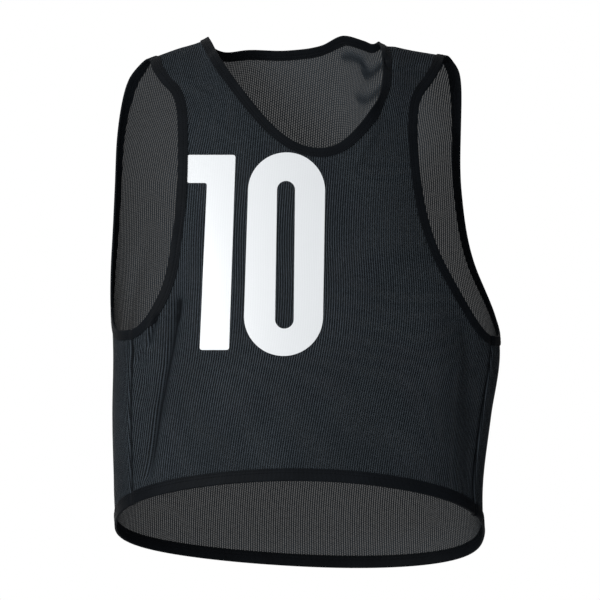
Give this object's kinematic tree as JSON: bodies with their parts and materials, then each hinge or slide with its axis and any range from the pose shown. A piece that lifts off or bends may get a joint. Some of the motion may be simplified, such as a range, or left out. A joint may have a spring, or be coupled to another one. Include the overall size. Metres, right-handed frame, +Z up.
{
  "type": "mesh training bib",
  "caption": "Sleeveless mesh training bib in its worn form, with bound neck, armholes and hem, wide armholes and a dropped back hem.",
  "frame": {"origin": "level of the neck ends of the shoulders, midway across the bib and at the depth of the shoulder ridge, where a wearer holds it up", "axes": "+Z up, the front faces -Y, +X to the viewer's right as the front is seen"},
  "size_m": [0.4691, 0.2482, 0.6458],
  "materials": {
    "mesh_cloth": "black open knitted mesh, slight sheen",
    "binding_tape": "dense black knitted tape, folded and cover-stitched",
    "number_film": "smooth white printed film"
  },
  "bodies": {
    "root": {"front_panel": "mesh_cloth", "back_panel": "mesh_cloth", "neck_binding": "binding_tape", "armhole_binding_left": "binding_tape", "armhole_binding_right": "binding_tape", "front_hem_binding": "binding_tape", "back_hem_binding": "binding_tape"}
  },
  "joints": []
}
